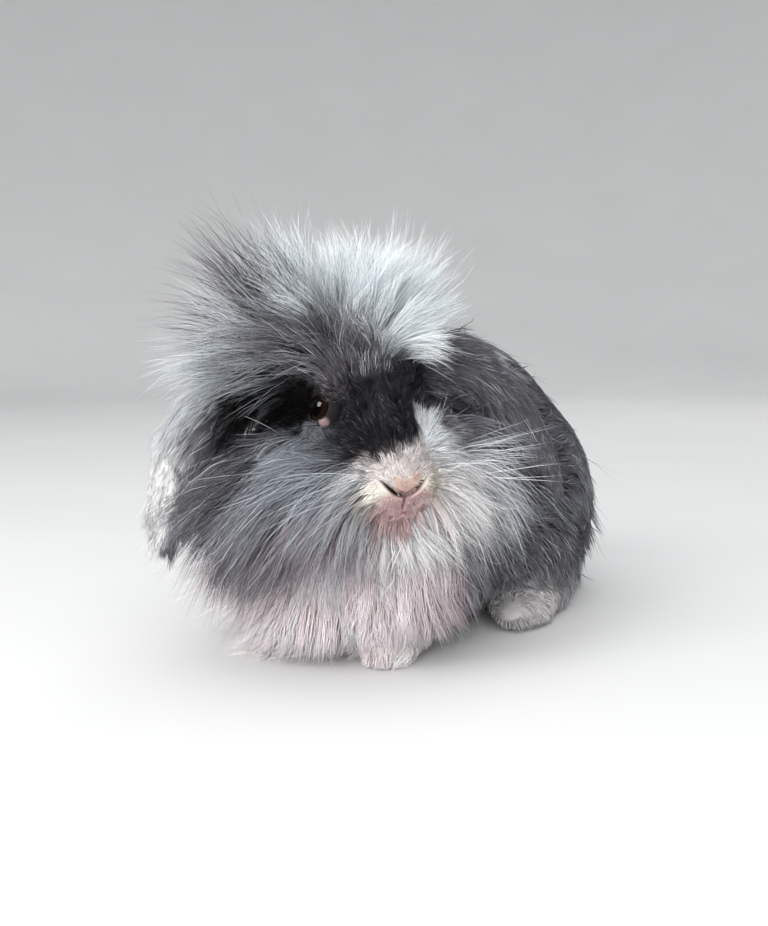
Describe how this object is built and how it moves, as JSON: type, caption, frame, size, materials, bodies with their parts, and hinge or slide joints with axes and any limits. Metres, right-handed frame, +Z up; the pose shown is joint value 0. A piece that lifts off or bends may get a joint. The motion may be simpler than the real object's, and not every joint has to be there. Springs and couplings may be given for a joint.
{
  "type": "lop-eared lionhead rabbit model",
  "caption": "Life-size still model of a crouched lop-eared lionhead rabbit, its head turned to its left, with mane, crest, bib and cheek locks.",
  "frame": {"origin": "middle of the rabbit's outline on the floor it rests on", "axes": "+Z up, -Y the way the body faces, +X towards the rabbit's left"},
  "size_m": [0.1874, 0.3016, 0.1967],
  "materials": {
    "fur_grey": "soft long smoke-grey fur",
    "fur_dark": "short black-brown fur of the face, white at the muzzle",
    "fur_white": "soft cream-white fur",
    "eye": "wet dark brown eye"
  },
  "bodies": {
    "root": {"torso": "fur_grey", "neck": "fur_white", "head": "fur_dark", "ear_left": "fur_grey", "ear_right": "fur_grey", "eye_left": "eye", "eye_right": "eye", "thigh_left": "fur_grey", "thigh_right": "fur_grey", "hind_foot_left": "fur_white", "hind_foot_right": "fur_white", "foreleg_left": "fur_white", "foreleg_right": "fur_white", "tail": "fur_grey"}
  },
  "joints": []
}
